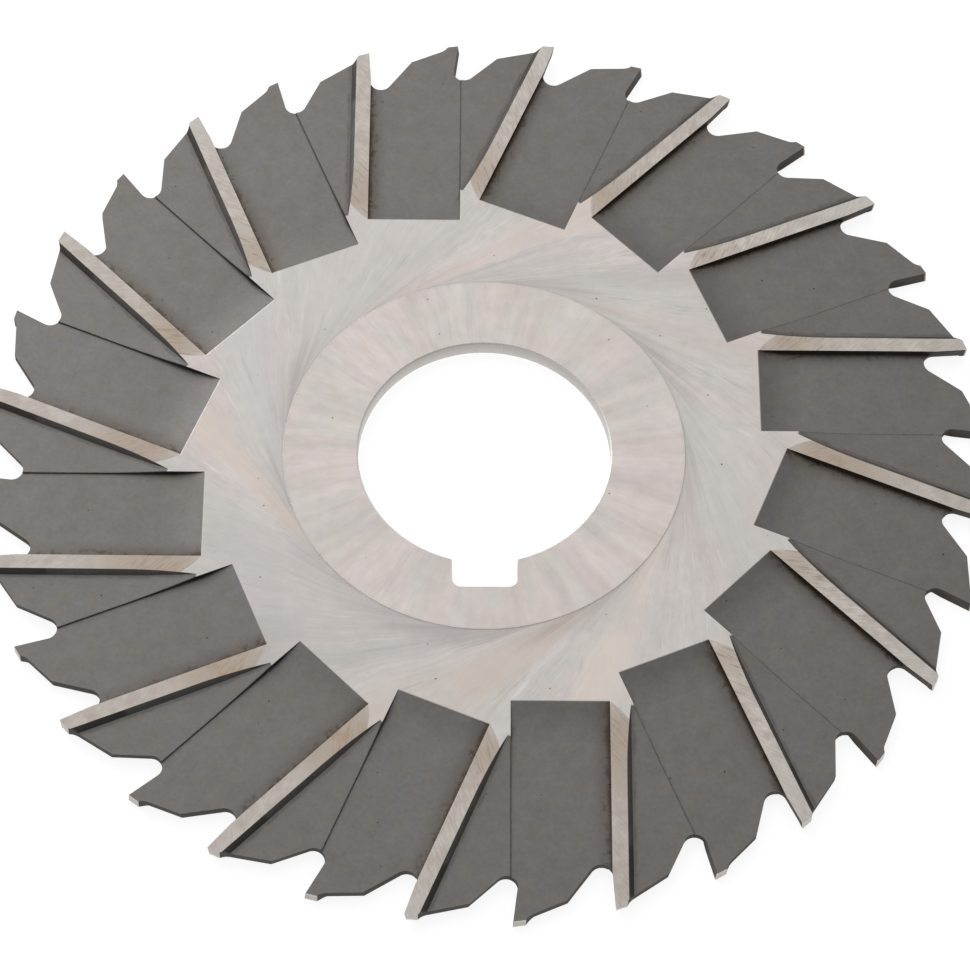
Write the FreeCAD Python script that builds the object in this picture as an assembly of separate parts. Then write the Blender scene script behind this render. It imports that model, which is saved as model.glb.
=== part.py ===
import FreeCAD, Part
import math
import os

# Slitting saw with staggered teeth, one piece of hardened steel, in millimetres.
# It lies flat on its lower face. The origin is the centre of the bore on that face,
# +Z is the axis of the arbor and -Y points to the keyway.
# Seen from above the teeth point clockwise. Every second tooth cuts with its upper
# corner and the teeth between them with their lower corner.

# Disc and hub
outside_diameter = 127.0
thickness = 2.38
hub_diameter = 50.4
hollow_drop = 0.08
bore_diameter = 31.75
bore_chamfer = 0.18

# Keyway, its depth measured from the far side of the bore
keyway_width = 8.1
keyway_across = 35.2
keyway_floor_radius = 1.15
keyway_mouth_radius = 0.6

# Teeth, in pairs of one upper and one lower tooth, whose tip lags the middle of the pair
tooth_pairs = 16
lower_tooth_lag = 0.25
keyway_to_tooth_angle = 8.7
rake_angle = 10.0
axial_rake_angle = 6.5
gullet_depth = 5.78
gullet_angle = 40.0
root_radius = 1.4
land_length = 1.55
land_relief_angle = 5.0
heel_step = 0.4
heel_step_radius = 2.0
heel_angle = 20.5

# Side gash in front of each tooth, cut by a round cutter that leaves a run-out
side_hook_angle = 14.2
side_edge_lead = 0.30
gash_start_radius = 38.0
gash_width = 12.0
gash_depth = 0.78
gash_cutter_radius = 20.0

# Side land behind the gash, and the relief behind the land
side_land_width = 1.9
relief_depth = 0.60
relief_wall_angle = 43.0
relief_start_lag = 0.4
relief_cutter_radius = 80.0
relief_overlap = 0.5

outside_radius = outside_diameter / 2
bore_radius = bore_diameter / 2
hub_radius = hub_diameter / 2
pair_pitch = 360.0 / tooth_pairs
tooth_pitch = pair_pitch / 2
clearance = 2.0


def tan(angle):
    return math.tan(math.radians(angle))


def heading(angle):
    """Unit vector in the plane of the disc, at this angle clockwise from +Y."""
    return FreeCAD.Vector(math.sin(math.radians(angle)), math.cos(math.radians(angle)), 0)


def side(start, end):
    return Part.LineSegment(start, end).toShape()


def arc_about(centre, start, end):
    """The shorter arc from start to end about the centre."""
    middle = (start - centre) + (end - centre)
    middle.normalize()
    return Part.Arc(start, centre + middle * start.distanceToPoint(centre), end).toShape()


def outline(points):
    return Part.makePolygon(points + points[:1])


def meet(start, direction, other, other_direction):
    """Where two lines in the plane of the disc cross."""
    across = other_direction.x * direction.y - other_direction.y * direction.x
    gap = other - start
    return start + direction * ((other_direction.x * gap.y - other_direction.y * gap.x) / across)


def make_blank():
    """The turned disc: flat hub, sides ground hollow from the hub out to the rim, and the bore."""
    rim_of_hollow = hub_radius + hollow_drop
    profile = [
        (bore_radius, bore_chamfer),
        (bore_radius + bore_chamfer, 0),
        (hub_radius, 0),
        (rim_of_hollow, hollow_drop),
        (outside_radius, 0),
        (outside_radius, thickness),
        (rim_of_hollow, thickness - hollow_drop),
        (hub_radius, thickness),
        (bore_radius + bore_chamfer, thickness),
        (bore_radius, thickness - bore_chamfer),
    ]
    section = Part.Face(outline([FreeCAD.Vector(r, 0, z) for r, z in profile]))
    return section.revolve(FreeCAD.Vector(0, 0, 0), FreeCAD.Vector(0, 0, 1), 360)


def make_keyway_cutter():
    """Slot towards -Y, with rounded floor corners and rounded mouth edges."""
    half = keyway_width / 2
    floor = bore_radius - keyway_across
    corner = half - keyway_floor_radius
    mouth_x = half + keyway_mouth_radius
    mouth_y = -math.sqrt((bore_radius + keyway_mouth_radius) ** 2 - mouth_x ** 2)
    on_bore = bore_radius / (bore_radius + keyway_mouth_radius)
    edges = []
    for hand in (-1, 1):
        mouth_centre = FreeCAD.Vector(hand * mouth_x, mouth_y, 0)
        mouth_end = mouth_centre * on_bore
        wall_top = FreeCAD.Vector(hand * half, mouth_y, 0)
        wall_foot = FreeCAD.Vector(hand * half, floor + keyway_floor_radius, 0)
        floor_end = FreeCAD.Vector(hand * corner, floor, 0)
        corner_centre = FreeCAD.Vector(hand * corner, floor + keyway_floor_radius, 0)
        edges.append(arc_about(mouth_centre, mouth_end, wall_top))
        edges.append(side(wall_top, wall_foot))
        edges.append(arc_about(corner_centre, wall_foot, floor_end))
        edges.append(side(FreeCAD.Vector(0, 0, 0), mouth_end))
    edges.append(side(FreeCAD.Vector(-corner, floor, 0), FreeCAD.Vector(corner, floor, 0)))
    slot = Part.Face(Part.Wire(Part.__sortEdges__(edges)))
    slot.translate(FreeCAD.Vector(0, 0, -clearance))
    return slot.extrude(FreeCAD.Vector(0, 0, thickness + 2 * clearance))


def gullet_lines():
    """Root centre of the gullet before a tooth whose tip lies on +Y, and the ends of its root arc."""
    to_centre = gullet_depth - root_radius
    centre_x = root_radius / math.cos(math.radians(rake_angle)) - to_centre * tan(rake_angle)
    centre = FreeCAD.Vector(centre_x, outside_radius - to_centre, 0)
    rake_end = centre + heading(rake_angle - 90) * root_radius
    back_end = centre + heading(rake_angle + gullet_angle + 90) * root_radius
    return centre, rake_end, back_end


def make_gullet_cutter():
    """Rake face, rounded root and back slope, tilted about the tip by the axial rake."""
    centre, rake_end, back_end = gullet_lines()
    outer = outside_radius + clearance
    rake_top = FreeCAD.Vector(clearance * tan(rake_angle), outer, 0)
    back_top = back_end + heading(rake_angle + gullet_angle) * (
        (outer - back_end.y) / math.cos(math.radians(rake_angle + gullet_angle)))
    mid_arc = centre - heading(rake_angle + gullet_angle / 2) * root_radius
    root = Part.Arc(rake_end, mid_arc, back_end).toShape()
    edges = [root, side(back_end, back_top), side(back_top, rake_top), side(rake_top, rake_end)]
    section = Part.Face(Part.Wire(edges))
    section.translate(FreeCAD.Vector(0, 0, -clearance))
    gullet = section.extrude(FreeCAD.Vector(0, 0, thickness + 2 * clearance))
    gullet.rotate(FreeCAD.Vector(0, 0, thickness), FreeCAD.Vector(0, 1, 0), axial_rake_angle)
    return gullet


def make_back_cutter():
    """Ground land, small concave step and heel slope behind a tooth tip on +Y."""
    land_end = FreeCAD.Vector(-land_length, outside_radius - land_length * tan(land_relief_angle), 0)
    backward = heading(heel_angle + 180 + (90 - 2 * heel_angle))
    outward = heading(-heel_angle)
    drop = heel_step * math.cos(math.radians(heel_angle))
    run = math.sqrt(2 * heel_step_radius * drop - drop ** 2)
    step_end = land_end - outward * drop + backward * run
    step_centre = step_end + outward * heel_step_radius
    spin = FreeCAD.Rotation(FreeCAD.Vector(0, 0, 1), tooth_pitch)
    back_end = spin.multVec(gullet_lines()[2])
    back_direction = heading(rake_angle + gullet_angle - tooth_pitch)
    heel_end = meet(step_end, backward, back_end, back_direction) + backward * (clearance / 2)
    outer = outside_radius + clearance
    ahead = FreeCAD.Vector(clearance, outside_radius + clearance * tan(land_relief_angle), 0)
    edges = [
        side(ahead, land_end),
        arc_about(step_centre, land_end, step_end),
        side(step_end, heel_end),
        side(heel_end, FreeCAD.Vector(heel_end.x, outer, 0)),
        side(FreeCAD.Vector(heel_end.x, outer, 0), FreeCAD.Vector(clearance, outer, 0)),
        side(FreeCAD.Vector(clearance, outer, 0), ahead),
    ]
    back = Part.Face(Part.Wire(edges))
    back.translate(FreeCAD.Vector(0, 0, -clearance))
    return back.extrude(FreeCAD.Vector(0, 0, thickness + 2 * clearance))


def edge_offset():
    """Distance of the side cutting edge's line from the axis, negative behind it."""
    hook = math.radians(side_hook_angle)
    return side_edge_lead * math.cos(hook) - outside_radius * math.sin(hook)


def run_out_station(cutter_radius, depth):
    """How far along the side cutting edge a round cutter's axis stops, to bite in at the start radius."""
    start = math.sqrt(gash_start_radius ** 2 - edge_offset() ** 2)
    web = hollow_drop * (outside_radius - gash_start_radius) / (outside_radius - hub_radius)
    return start + chord(cutter_radius, depth - web)


def chord(radius, depth):
    """Half the width of a round cutter's bite at this depth."""
    return math.sqrt(radius ** 2 - (radius - depth) ** 2)


def make_gash_cutter():
    """Flat-floored gash before the side cutting edge, here along +Y, with its round run-out."""
    axis = run_out_station(gash_cutter_radius, gash_depth)
    floor = thickness - gash_depth
    top = thickness + clearance
    outer = outside_radius + clearance
    left = edge_offset()
    entry = FreeCAD.Vector(left, axis - chord(gash_cutter_radius, gash_depth + clearance), top)
    touch = FreeCAD.Vector(left, axis, floor)
    centre = FreeCAD.Vector(left, axis, floor + gash_cutter_radius)
    edges = [
        arc_about(centre, entry, touch),
        side(touch, FreeCAD.Vector(left, outer, floor)),
        side(FreeCAD.Vector(left, outer, floor), FreeCAD.Vector(left, outer, top)),
        side(FreeCAD.Vector(left, outer, top), entry),
    ]
    gash = Part.Face(Part.Wire(edges)).extrude(FreeCAD.Vector(gash_width, 0, 0))
    gash.rotate(FreeCAD.Vector(0, 0, 0), FreeCAD.Vector(0, 0, 1), -side_hook_angle)
    return gash


def make_relief_cutter():
    """Relief behind the side land, left by a large angle cutter: sloped wall, flat floor, long run-out."""
    axis = run_out_station(relief_cutter_radius, relief_depth) + relief_start_lag
    floor = thickness - relief_depth
    top = thickness + clearance
    wall_top = edge_offset() - side_land_width
    foot = wall_top - relief_depth / tan(relief_wall_angle)
    over = wall_top + clearance / tan(relief_wall_angle)
    gash_side = FreeCAD.Vector(edge_offset() + gash_width, 0, 0)
    gash_side.y = math.sqrt(outside_radius ** 2 - gash_side.x ** 2)
    spin = FreeCAD.Rotation(FreeCAD.Vector(0, 0, 1), pair_pitch)
    far = spin.multVec(gash_side).x - relief_overlap
    section = Part.Face(outline([
        FreeCAD.Vector(far, axis, floor),
        FreeCAD.Vector(foot, axis, floor),
        FreeCAD.Vector(over, axis, top),
        FreeCAD.Vector(far, axis, top),
    ]))
    swept = section.extrude(FreeCAD.Vector(0, outside_radius + clearance - axis, 0))
    spindle = FreeCAD.Vector(0, axis, floor + relief_cutter_radius)
    turn = math.degrees(math.acos(1 - (relief_depth + clearance) / relief_cutter_radius))
    turned = section.revolve(spindle, FreeCAD.Vector(-1, 0, 0), turn)
    relief = swept.fuse(turned)
    relief.rotate(FreeCAD.Vector(0, 0, 0), FreeCAD.Vector(0, 0, 1), -side_hook_angle)
    return relief


def around(cutter):
    """The cutter at each upper tooth, and its mirror image at each lower tooth."""
    middle = FreeCAD.Vector(0, 0, thickness / 2)
    mirrored = cutter.mirror(middle, FreeCAD.Vector(0, 0, 1))
    copies = []
    for pair in range(tooth_pairs):
        upper_angle = -180 - keyway_to_tooth_angle - pair * pair_pitch
        lower_angle = upper_angle - tooth_pitch + lower_tooth_lag
        for shape, angle in ((cutter, upper_angle), (mirrored, lower_angle)):
            copy = shape.copy()
            copy.rotate(FreeCAD.Vector(0, 0, 0), FreeCAD.Vector(0, 0, 1), angle)
            copies.append(copy)
    return copies


def make_saw():
    saw = make_blank().cut(make_keyway_cutter())
    for cutter in (make_gash_cutter(), make_relief_cutter(), make_back_cutter(), make_gullet_cutter()):
        saw = saw.cut(around(cutter))
    return saw


saw = make_saw()
print("solids", len(saw.Solids), "valid", saw.isValid(), "volume", saw.Volume)
os.makedirs("parts", exist_ok=True)
saw.exportStep("parts/saw.step")
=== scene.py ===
import bpy
import math
from mathutils import Matrix, Vector

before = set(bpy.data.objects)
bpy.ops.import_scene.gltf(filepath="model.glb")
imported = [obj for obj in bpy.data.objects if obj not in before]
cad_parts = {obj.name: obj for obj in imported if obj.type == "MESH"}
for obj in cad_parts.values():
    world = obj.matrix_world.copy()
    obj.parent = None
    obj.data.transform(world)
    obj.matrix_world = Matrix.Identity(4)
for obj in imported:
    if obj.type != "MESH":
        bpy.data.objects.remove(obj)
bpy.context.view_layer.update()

# The saw is one disc of hardened steel. Hub ring, web, side lands and bore are ground
# bright; the gashes, reliefs and gullets keep the dull grey skin of the milling and
# hardening. All sizes on it are in millimetres.
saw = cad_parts["saw"]
steel = bpy.data.materials.new("ground_and_milled_steel")
steel.use_nodes = True
steel.node_tree.nodes.clear()
saw.data.materials.clear()
saw.data.materials.append(steel)


class Wire:
    """A socket in a shader. Sums written on wires add the Math nodes for them."""

    def __init__(self, tree, socket=None):
        self.tree = tree
        self.socket = socket

    def node(self, kind, settings=None, sockets=None, output=0):
        made = self.tree.nodes.new("ShaderNode" + kind)
        for name, value in (settings or {}).items():
            setattr(made, name, value)
        for name, value in (sockets or {}).items():
            if isinstance(value, Wire):
                self.tree.links.new(value.socket, made.inputs[name])
            else:
                made.inputs[name].default_value = value
        return Wire(self.tree, made.outputs[output] if made.outputs else None)

    def math(self, operation, *values):
        return self.node("Math", {"operation": operation}, dict(enumerate((self,) + values)))

    def __add__(self, other):
        return self.math("ADD", other)

    __radd__ = __add__

    def __sub__(self, other):
        return self.math("SUBTRACT", other)

    def __rsub__(self, other):
        return self.node("Math", {"operation": "SUBTRACT"}, {0: other, 1: self})

    def __mul__(self, other):
        return self.math("MULTIPLY", other)

    __rmul__ = __mul__

    def __truediv__(self, other):
        return self.math("DIVIDE", other)

    def __rtruediv__(self, other):
        return self.node("Math", {"operation": "DIVIDE"}, {0: other, 1: self})

    def __pow__(self, other):
        return self.math("POWER", other)

    def rise(self, low, high):
        """A smooth step, 0 up to low and 1 from high on, or the other way round."""
        return self.node("MapRange", {"interpolation_type": "SMOOTHSTEP"},
                         {0: self, 1: low, 2: high, 3: 0.0, 4: 1.0})

    def band(self, start, end, soft):
        """1 between start and end, with soft borders outside them."""
        return self.rise(start - soft, start) * self.rise(end + soft, end)

    def blend(self, first, second):
        """The first colour where the wire is 0 and the second where it is 1."""
        return self.node("Mix", {"data_type": "RGBA"}, {0: self, 6: first, 7: second}, 2)

    def dimmed(self, shade):
        """This colour times a number that changes over the surface."""
        return self.node("VectorMath", {"operation": "SCALE"}, {0: self, "Scale": shade})


wire = Wire(steel.node_tree)

# Place on the disc: radius, angle, height over its middle, and where the surface is
# steep, as on the walls that the turning and milling cutters left.
half_thickness = 1.19
place = wire.node("VectorMath", {"operation": "SCALE"}, {
    0: wire.node("TexCoord", output="Object"), "Scale": 1000.0})
x = wire.node("SeparateXYZ", sockets={0: place}, output=0)
y = wire.node("SeparateXYZ", sockets={0: place}, output=1)
height = wire.node("SeparateXYZ", sockets={0: place}, output=2) - half_thickness
radius = (x * x + y * y) ** 0.5
angle = y.math("ARCTAN2", x)
under = height.math("LESS_THAN", 0.0)
facing = wire.node("SeparateXYZ", sockets={0: wire.node("TexCoord", output="Normal")}, output=2)
wall = facing.math("ABSOLUTE").rise(0.92, 0.85)

# How far a point lies under the turned face. That is 0 on the hub ring, on the slightly
# hollow ground web and on the side lands, and more where a milling cutter went.
outside_radius = 63.5
hub_radius = 25.2
hollow_drop = 0.08
off_hub = radius.math("GREATER_THAN", hub_radius + 0.01)
dish = (outside_radius - radius) * (hollow_drop / (outside_radius - hub_radius))
depth = half_thickness - dish * off_hub - height.math("ABSOLUTE")
cut = depth.rise(0.012, 0.03) * radius.math("GREATER_THAN", hub_radius + 1.0)

# Place across and along the nearest side land: its cutting edge is 0 across, the land
# lies behind it at negative numbers and the gash before it at positive ones. The lower
# face has the same lands, turned half a pair's pitch less the lower teeth's small lag.
pair_pitch = math.radians(22.5)
keyway_to_tooth = math.radians(8.7)
first_tooth = math.radians(-90.0) - keyway_to_tooth
lower_tooth_lag = math.radians(0.25)
lower_turn = pair_pitch / 2 - lower_tooth_lag
side_hook = math.radians(14.2)
side_edge_lead = 0.30
edge_offset = outside_radius * math.sin(side_hook) - side_edge_lead * math.cos(side_hook)
gash_width = 12.0
gash_before_land = 0.34
lean = (edge_offset / radius.math("MAXIMUM", edge_offset * 1.001)).math("ARCSINE")
pitches = (angle + under * lower_turn - lean - (first_tooth - side_hook)) / pair_pitch
tooth = pitches.math("ROUND")
turn = (pitches - tooth) * pair_pitch + lean
along = radius * turn.math("COSINE")
across = edge_offset - radius * turn.math("SINE")
gash_pitches = pitches + gash_before_land
gash_turn = (pitches - gash_pitches.math("ROUND")) * pair_pitch + lean
before_seam = gash_width - edge_offset + radius * gash_turn.math("SINE")


def cloud(scale, detail=2.0, roughness=0.5, seed=0.0):
    """Noise of this many blotches to the millimetre."""
    spot = wire.node("VectorMath", {"operation": "ADD"}, {0: place, 1: (seed, seed, 0.0)})
    return wire.node("TexNoise", sockets={"Vector": spot, "Scale": scale, "Detail": detail,
                                          "Roughness": roughness})


def streaks(heading, across_scale, along_scale, seed, detail=2.0):
    """Noise drawn out along lines of one heading."""
    spot = wire.node("CombineXYZ", sockets={
        0: heading.math("COSINE") * across_scale, 1: heading.math("SINE") * across_scale,
        2: radius * along_scale + seed})
    return wire.node("TexNoise", sockets={"Vector": spot, "Scale": 1.0, "Detail": detail,
                                          "Roughness": 0.6})


def specks(cell, size, seed):
    """Small pits, one in some of the cells of this width."""
    spot = wire.node("VectorMath", {"operation": "ADD"}, {0: place, 1: (seed, 0.0, 0.0)})
    cells = {"Vector": spot, "Scale": 1.0 / cell}
    near = wire.node("TexVoronoi", {"voronoi_dimensions": "2D"}, cells)
    tint = wire.node("TexVoronoi", {"voronoi_dimensions": "2D"}, cells, 1)
    pick = wire.node("SeparateColor", sockets={0: tint}, output=0)
    ragged_size = near * cell + (cloud(2.5, 1.0, seed=seed + 1.0) - 0.5) * size * 1.6
    return ragged_size.rise(size, size * 0.4) * pick.rise(0.55, 0.75)


# The grinding marks run along radii on the hub ring. On the web they leave the ring
# along its tangents and sweep out clockwise, with a few that cross them.
warp = (cloud(0.12, seed=40.0) - 0.5) * 0.10
ring = hub_radius / radius.math("MAXIMUM", hub_radius)
sweep = angle + off_hub * (ring.math("ARCCOSINE") + warp)
cross_mark_radius = 19.0
small_ring = cross_mark_radius / radius.math("MAXIMUM", hub_radius)
cross_sweep = angle + small_ring.math("ARCCOSINE") + warp
fine = streaks(sweep, 85.0, 0.35, 3.0)
broad = streaks(sweep, 16.0, 0.14, 11.0)
crossing = streaks(cross_sweep, 60.0, 0.3, 71.0)
patch = cloud(0.09, 2.0, seed=90.0)
hue = streaks(sweep, 2.2, 0.06, 27.0, 2.0) * 0.6 + streaks(sweep, 9.0, 0.15, 57.0, 2.0) * 0.4
ground = hue.rise(0.40, 0.62).blend((0.518, 0.492, 0.466, 1), (0.552, 0.489, 0.473, 1))
warm = streaks(sweep, 4.0, 0.1, 83.0, 2.0) * 0.5 + cloud(0.35, seed=23.0) * 0.5
ground = (warm.rise(0.45, 0.62) * 0.45).blend(ground, (0.556, 0.498, 0.452, 1))
ground = (off_hub * 0.35).blend(ground, (0.462, 0.452, 0.440, 1))
marks = (fine - 0.5) * (0.10 + off_hub * 0.16) + (broad - 0.5) * 0.18
marks = marks + (streaks(sweep, 7.0, 0.05, 45.0) - 0.5) * (0.36 - off_hub * 0.22)
marks = marks + (cloud(0.7, 2.0, 0.6, 31.0) - 0.5) * 0.18
marks = marks + (crossing - 0.5) * patch.rise(0.4, 0.6) * 0.2
scores = streaks(sweep, 30.0, 0.22, 33.0, 1.0)
scored = scores.rise(0.66, 0.74) * 0.11 - scores.rise(0.34, 0.26) * 0.11
marks = marks + scored * (0.3 + off_hub * 0.7)
ground = ground.dimmed(1.0 + marks + (patch - 0.5) * 0.16)

# Fans that the wheel left stained on the web, by the heading of their marks, how wide
# they are, their colour and how strong it is.
ragged = (fine - 0.5) * 0.10 + (broad - 0.5) * 0.25
for heading, spread, colour, strength in (
        (159, 34, (0.500, 0.488, 0.462, 1), 0.50),
        (27, 20, (0.500, 0.485, 0.460, 1), 0.45),
        (-110, 26, (0.425, 0.412, 0.398, 1), 0.55),
        (-84, 17, (0.350, 0.335, 0.322, 1), 0.65),
        (-165, 13, (0.490, 0.476, 0.478, 1), 0.60),
        (-142, 8, (0.585, 0.495, 0.420, 1), 0.65),
        (-55, 14, (0.510, 0.435, 0.375, 1), 0.70),
        (-23, 10, (0.610, 0.535, 0.480, 1), 0.60),
        (119, 9, (0.590, 0.500, 0.455, 1), 0.50),
        (72, 10, (0.500, 0.425, 0.405, 1), 0.50),
        (93, 7, (0.420, 0.395, 0.375, 1), 0.55)):
    away = (sweep - math.radians(heading) + ragged).math("COSINE").math("ARCCOSINE")
    fan = away.rise(math.radians(spread), math.radians(spread * 0.2)) * off_hub
    ground = (fan * strength * (0.35 + patch.rise(0.35, 0.6) * 0.65)).blend(ground, colour)

# Painted shade as a dark, patchy line in the corner of the hub ring, and crescents of old grinding
# beside it.
crescent = (radius + (broad - 0.5) * 4.0).rise(hub_radius + 4.0, hub_radius) * off_hub
crescent = crescent * (0.35 + streaks(sweep, 3.0, 0.0, 5.0, 2.0).rise(0.40, 0.60) * 0.65)
hub_corner_shade = radius.band(hub_radius, hub_radius + 0.06, 0.06)
hub_corner_shade = hub_corner_shade * (0.25 + cloud(0.12).rise(0.3, 0.6) * 0.75)
hub_corner_shade = hub_corner_shade * (0.14 + cloud(0.6, 2.0, 0.6, 77.0).rise(0.64, 0.70) * 0.6)
hub_corner_shade = hub_corner_shade + radius.band(hub_radius, hub_radius + 0.1, 0.35) * 0.06
pits = specks(7.0, 0.13, 5.0) * 0.7
ground = ground.dimmed((1 - crescent * 0.20) * (1 - hub_corner_shade) * (1 - pits))

# Side lands are ground last, by a wheel that crosses them, and are stained brown
# towards the hub. Each has its own tone, and its inner end runs out on a slanting bow.
land_width = 1.9
own = wire.node("TexWhiteNoise", {"noise_dimensions": "1D"}, {"W": tooth + under * 40.0})
land_inner_end = 34.9
bow = (across + 1.2) * (across + 1.2) * 0.16 - 0.23
inner_edge = (along - land_inner_end + across * 1.06 - bow).rise(-0.07, 0.07)
on_land = across.band(-land_width - 0.7, 0.06, 0.04) * inner_edge


def land_streaks(fineness, length, seed):
    """Noise drawn out along the wheel's marks, which cross the land slantwise."""
    slant = across * 1.15
    spot = wire.node("CombineXYZ", sockets={
        0: (along + slant) * fineness, 1: (slant - along) / length, 2: tooth * 7.0 + under + seed})
    return wire.node("TexNoise", sockets={"Vector": spot, "Scale": 1.0, "Detail": 2.0})


land_marks = land_streaks(2.8, 2.9, 0.0)
mottle = cloud(0.55, 2.0, 0.6)
land = mottle.rise(0.3, 0.7).blend((0.400, 0.360, 0.325, 1), (0.470, 0.430, 0.394, 1))
scratch = land_marks.rise(0.36, 0.64) - 0.5
land = land.dimmed(1.0 + scratch * (0.07 + own * 0.14) + (own - 0.5) * 0.08)
stain = ((mottle * 0.5 + land_marks * 0.6).rise(0.40, 0.68) * 0.65 + 0.30) * along.rise(34.0, 39.0)
land = ((along + own * 9.0).rise(52.0, 41.0) * stain).blend(land, (0.335, 0.255, 0.192, 1))
scar = land_streaks(2.5, 4.0, 0.5).rise(0.44, 0.34) * along.rise(48.0, 41.0)
land = (scar * (0.15 + own * 0.35)).blend(land, (0.170, 0.125, 0.090, 1))
fresh = (along + own * 20.0).rise(66.0, 74.0)
land = (fresh * 0.4).blend(land, (0.480, 0.460, 0.450, 1))
ground = on_land.blend(ground, land)

# Dull skin of the gashes: grey, with brown smudges in front of the land, partly painted
# shade at the foot of its wall, painted shade in the creases at the foot of the relief wall and at
# the seam, and painted shade on the walls that the cutters left, deepest on the gullets.
relief_depth = 0.60
relief_wall_angle = math.radians(43.0)
relief_foot = land_width + relief_depth / math.tan(relief_wall_angle)
grain = cloud(1.7, 3.0, 0.7)
cool = cloud(0.11, seed=13.0).rise(0.35, 0.65)
dull = cool.blend((0.214, 0.201, 0.189, 1), (0.216, 0.208, 0.202, 1))
tanned = cloud(0.5, 2.0, 0.6, 61.0).rise(0.46, 0.66) * 0.6
dull = tanned.blend(dull, (0.223, 0.202, 0.180, 1))
wide_grain = cloud(0.45, 3.0, 0.65, 7.0)
beside = across.rise(-0.3, 0.0)
# Darker floor beside the cutting edge's wall: partly a brown stain, partly painted shade at the
# wall's foot.
stain_and_wall_shade = across.rise(2.8, 0.0) * (0.16 + along.rise(54.0, 44.0) * 0.20)
stain_and_wall_shade = stain_and_wall_shade + (across + (wide_grain - 0.5) * 2.4).rise(0.8, -0.1) * 0.55
blots = across.rise(2.0, 0.1) * (grain * 0.4 + wide_grain * 0.6).rise(0.51, 0.63) * 0.7
dull = ((stain_and_wall_shade + blots).math("MINIMUM", 1.0) * beside).blend(dull, (0.090, 0.065, 0.046, 1))
# Painted shade: dark lines at the foot of the relief wall and along the small step of the seam.
foot = across + (wide_grain - 0.5) * 1.1
foot = foot.band(-relief_foot - 0.22, -relief_foot + 0.10, 0.36)
foot = foot * radius.rise(37.0, 40.0) * (0.6 + wide_grain.rise(0.4, 0.6) * 0.4)
seam = (before_seam + (grain - 0.5) * 0.3).band(-0.04, 0.08, 0.12)
seam = seam * (0.5 + grain.rise(0.3, 0.6) * 0.5)
crease_shade = (foot * 0.26 + seam * 0.38).math("MINIMUM", 1.0)
dull = dull.dimmed((0.70 + grain * 0.34 + wide_grain * 0.26) * (1 - crease_shade) * (1 - pits))
# Painted shade on the walls that the cutters left, deepest on the gullets and at the gashes' inner
# ends.
gullet = radius.rise(56.3, 56.9)
gash_end = radius.rise(42.0, 40.5)
painted_wall_shade = wall * (0.14 + gullet * 0.46 + gash_end * 0.45)
dull = painted_wall_shade.blend(dull, (0.070, 0.060, 0.052, 1))

# The bore is ground too, its chamfers lighter from polish and a painted highlight, and the small
# step round the hub ring carries a painted highlight. Tooth tips are ground bright, and all the
# rest that is cut keeps the dull skin.
polish_and_highlight = (0.90, 0.87, 0.84, 1)
in_bore = radius.math("LESS_THAN", 21.0) * wall
# Painted shade: the bore wall is darker towards its top and lighter towards the floor.
bore_shade = (height + fine * 0.9).rise(-0.6, 1.5)
bore_shade = bore_shade.blend((0.55, 0.52, 0.49, 1), (0.42, 0.39, 0.37, 1))
chamfer = facing.math("ABSOLUTE").rise(0.3, 0.5)
ground = in_bore.blend(ground, chamfer.blend(bore_shade, polish_and_highlight))
step = wall * radius.band(hub_radius - 0.5, hub_radius + 0.5, 0.1)
ground = step.blend(ground, polish_and_highlight)
on_tip = radius.rise(63.30, 63.36) * wall
skin = cut * (1 - on_tip)
colour = skin.blend(ground, dull)
rough = 0.30 + skin * (0.26 + wall * 0.24) + (fine - 0.5) * 0.14 * (1 - skin)
rough = rough + in_bore * chamfer * 0.2 + step * 0.6
shader = wire.node("BsdfPrincipled", sockets={
    "Base Color": colour, "Metallic": 1.0, "Roughness": rough})
wire.node("OutputMaterial", sockets={0: shader})

# The floor is a plain white sheet that takes the saw's own soft shadow.
bpy.ops.mesh.primitive_plane_add(size=4.0, location=(0, 0, 0))
floor = bpy.context.object
floor.name = "floor"
sheet = bpy.data.materials.new("white_floor")
sheet.use_nodes = True
sheet.node_tree.nodes.clear()
paper = Wire(sheet.node_tree)
glow = (paper.node("LightPath", output="Is Camera Ray")
        + paper.node("LightPath", output="Is Glossy Ray")
        + paper.node("LightPath", output="Is Transmission Ray")).math("MINIMUM", 1.0) * 0.84
white = paper.node("BsdfPrincipled", sockets={
    "Base Color": (0.33, 0.33, 0.33, 1), "Roughness": 0.9, "Specular IOR Level": 0.0,
    "Emission Color": paper.node("CombineColor", sockets={0: glow, 1: glow, 2: glow}),
    "Emission Strength": 1.0})
paper.node("OutputMaterial", sockets={0: white})
floor.data.materials.append(sheet)

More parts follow.
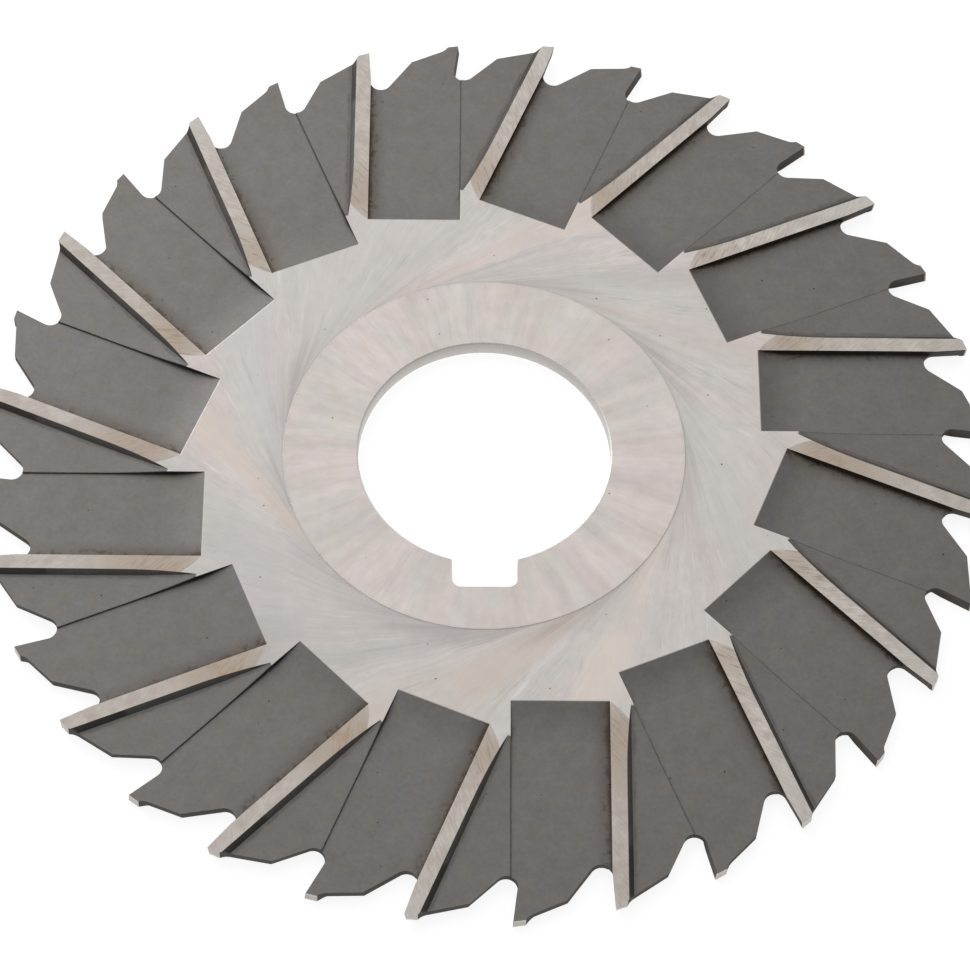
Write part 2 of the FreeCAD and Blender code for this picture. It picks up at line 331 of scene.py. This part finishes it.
# Plain studio light: a white room that is dimmer low down at the front right, one large
# soft panel over the back of the saw, and a small low lamp at its back left.
room = bpy.data.worlds.new("white_room")
bpy.context.scene.world = room
room.use_nodes = True
room.node_tree.nodes.clear()
sky = Wire(room.node_tree)
bright_side = sky.node("VectorMath", {"operation": "DOT_PRODUCT"}, {
    0: sky.node("TexCoord", output="Generated"), 1: Vector((-0.5, 0.55, 0.67))}, "Value")
white_room = sky.node("Background", sockets={
    "Color": (1, 1, 1, 1), "Strength": 0.28 + bright_side.rise(-0.45, 0.75) * 0.20})
sky.node("OutputWorld", sockets={0: white_room})
panel = bpy.data.lights.new("back_panel", "AREA")
panel.shape = "RECTANGLE"
panel.size = 0.50
panel.size_y = 0.40
panel.energy = 0.44
back_panel = bpy.data.objects.new("back_panel", panel)
bpy.context.scene.collection.objects.link(back_panel)
back_panel.location = (-0.08, 0.20, 0.32)
back_panel.rotation_euler = (-back_panel.location).to_track_quat("-Z", "Y").to_euler()
back_panel.visible_camera = False
lamp = bpy.data.lights.new("low_lamp", "AREA")
lamp.size = 0.18
lamp.energy = 0.34
low_lamp = bpy.data.objects.new("low_lamp", lamp)
bpy.context.scene.collection.objects.link(low_lamp)
low_lamp.location = (-0.20, 0.24, 0.10)
low_lamp.rotation_euler = (-low_lamp.location).to_track_quat("-Z", "Y").to_euler()
low_lamp.visible_camera = False

# The photograph looks down on the disc at about 60 degrees, from the keyway's side.
camera_data = bpy.data.cameras.new("camera")
camera_data.lens = 137.006
camera_data.sensor_width = 36.0
camera_data.shift_x = -0.00086
camera_data.shift_y = 0.00026
camera_data.clip_start = 0.01
camera = bpy.data.objects.new("camera", camera_data)
bpy.context.scene.collection.objects.link(camera)
elevation = math.radians(60.093)
azimuth = math.radians(-1.36)
roll = math.radians(1.307)
backward = Vector((math.sin(azimuth) * math.cos(elevation),
                   -math.cos(azimuth) * math.cos(elevation), math.sin(elevation)))
level_right = Vector((0, 0, 1)).cross(backward).normalized()
level_up = backward.cross(level_right)
right = level_right * math.cos(roll) + level_up * math.sin(roll)
up = level_up * math.cos(roll) - level_right * math.sin(roll)
aim = Vector((0.00017, -0.00503, 0.00238))
camera_distance = 0.46085
camera.matrix_world = (Matrix.Translation(aim + backward * camera_distance)
                       @ Matrix((right, up, backward)).transposed().to_4x4())
bpy.context.scene.camera = camera
bpy.context.scene.view_settings.view_transform = "Standard"
